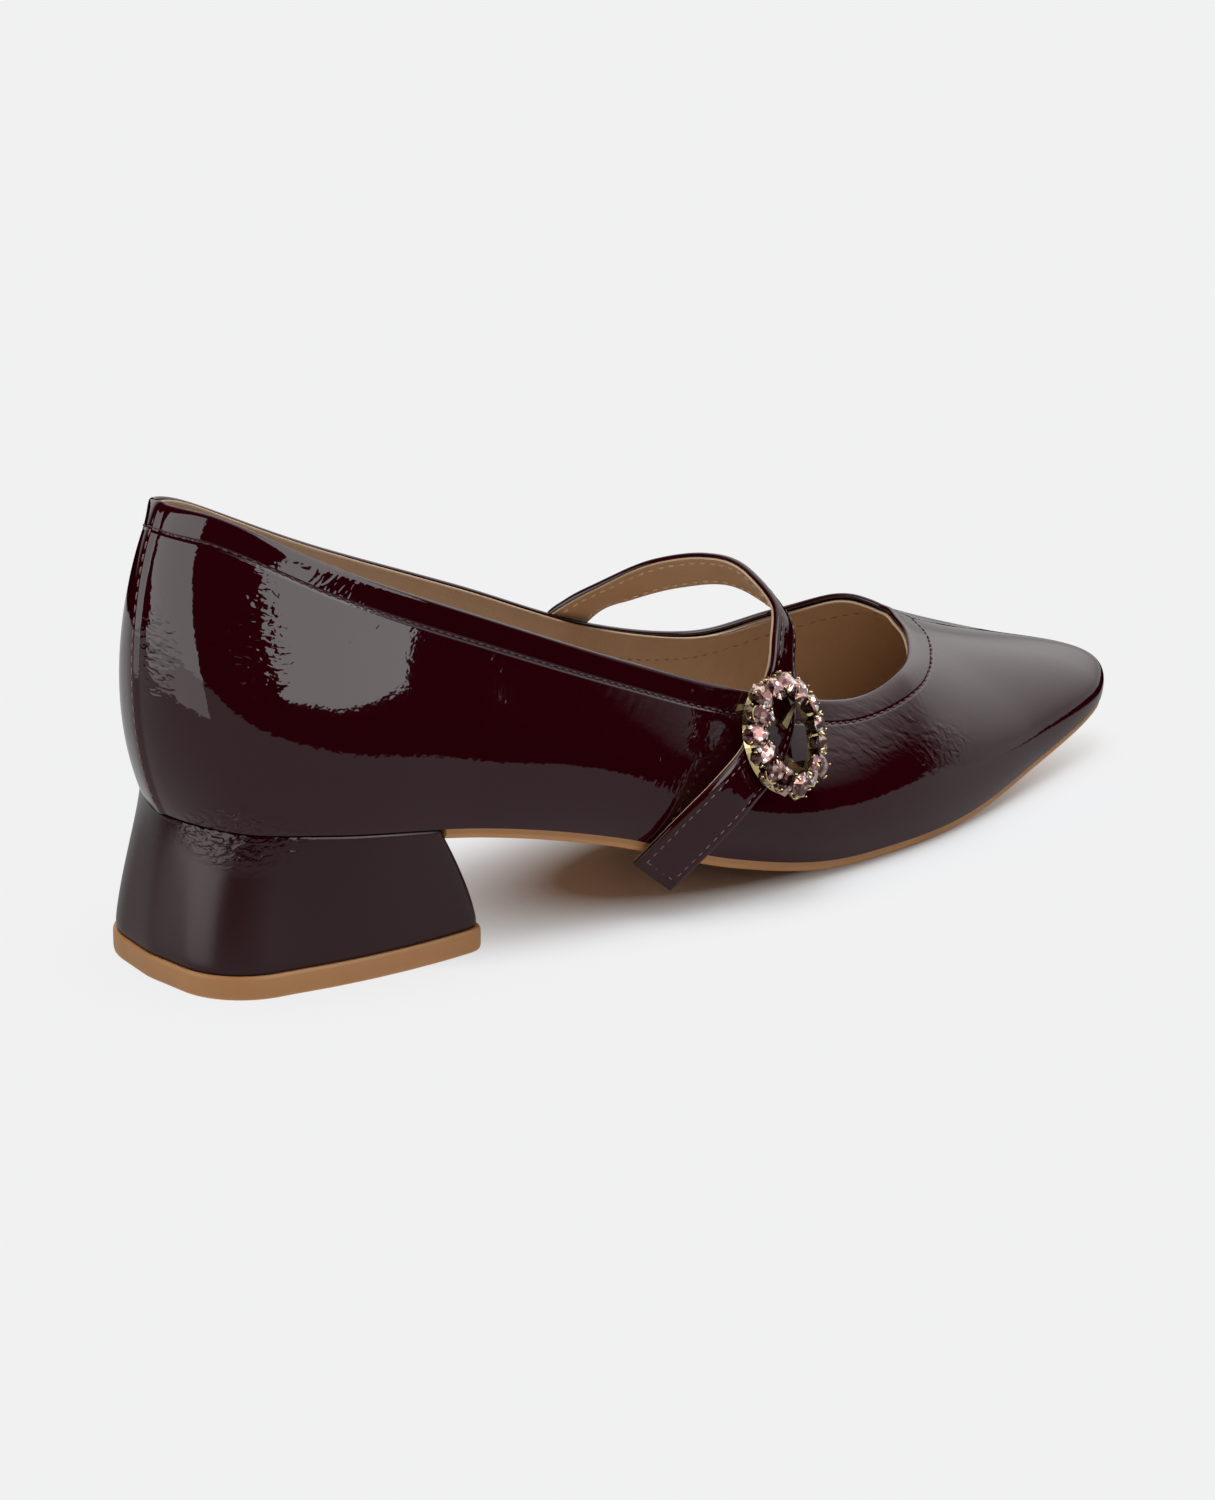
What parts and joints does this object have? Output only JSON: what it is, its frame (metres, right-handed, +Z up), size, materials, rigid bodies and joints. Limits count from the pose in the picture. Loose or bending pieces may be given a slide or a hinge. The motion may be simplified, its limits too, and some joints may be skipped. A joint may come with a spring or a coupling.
{
  "type": "women's pointed-toe mary-jane pump with low block heel",
  "caption": "Pointed-toe patent pump for the right foot with a buckled instep strap, jewelled oval buckle and low flared block heel.",
  "frame": {"origin": "centre of the top lift's resting face, on the floor under the heel", "axes": "+Z up from the floor, +Y towards the toe, +X towards the outer side of the right foot"},
  "size_m": [0.0803, 0.2597, 0.0951],
  "materials": {
    "upper": "crinkled burgundy patent, glossy",
    "insole": "matt tan sock",
    "outsole": "tan sole with a smooth dyed edge",
    "top_lift": "tan, satin",
    "heel": "block covered in burgundy patent, glossy",
    "strap": "burgundy patent with a tan lining",
    "gold": "polished light gold plating",
    "stone": "faceted, pale rose"
  },
  "bodies": {
    "root": {"upper": "upper", "insole": "insole", "outsole": "outsole", "top_lift": "top_lift", "heel": "heel", "strap": "strap", "buckle_tab": "strap", "buckle_frame": "gold", "buckle_bar": "gold", "buckle_prong": "gold", "rim_stone_01": "stone", "rim_stone_02": "stone", "rim_stone_03": "stone", "rim_stone_04": "stone", "rim_stone_05": "stone", "rim_stone_06": "stone", "rim_stone_07": "stone", "rim_stone_08": "stone", "rim_stone_09": "stone", "rim_stone_10": "stone", "rim_stone_11": "stone", "rim_stone_12": "stone", "rim_stone_13": "stone", "rim_stone_14": "stone", "rim_stone_15": "stone"}
  },
  "joints": []
}
